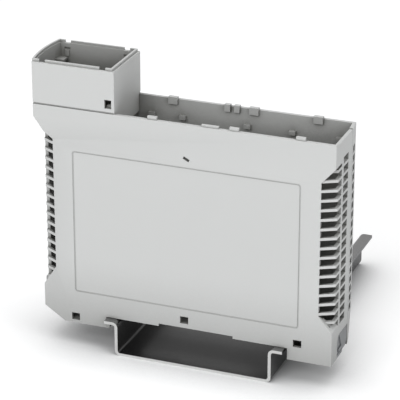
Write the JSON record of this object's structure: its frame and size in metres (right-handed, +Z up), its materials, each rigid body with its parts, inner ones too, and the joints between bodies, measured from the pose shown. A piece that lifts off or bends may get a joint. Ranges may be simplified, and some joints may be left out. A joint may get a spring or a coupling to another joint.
{
  "type": "DIN rail enclosure",
  "caption": "Open-top DIN rail electronics housing in light grey plastic with vented ends, a raised connector tower and a sliding foot catch, on a length of top-hat rail.",
  "frame": {"origin": "centre of the underside of the rail, halfway along its length", "axes": "+X across the rail towards the foot with the sliding catch, +Y along the rail from the label face to the back plate, +Z up, away from the rail"},
  "size_m": [0.1239, 0.117, 0.1182],
  "materials": {
    "housing_grey": "fine spark-eroded texture",
    "catch_metal": "stamped",
    "spring_steel": "drawn wire",
    "rail_steel": "bright passivated zinc"
  },
  "bodies": {
    "rail": {"rail": "rail_steel"},
    "enclosure": {"front_shell": "housing_grey", "back_shell": "housing_grey", "tower": "housing_grey", "catch_spring": "spring_steel"},
    "catch": {"foot_catch": "catch_metal"}
  },
  "joints": [
    {"name": "slide_on_rail", "type": "slide", "parent": "rail", "child": "enclosure", "axis": [0, 1, 0], "range_m": [-0.0035, 0.0875]},
    {"name": "catch_slide", "type": "slide", "parent": "enclosure", "child": "catch", "axis": [1, 0, 0], "range_m": [0, 0.003], "stiffness_N_per_m": 300, "springref_m": -0.003, "deforming": ["catch_spring"]}
  ]
}
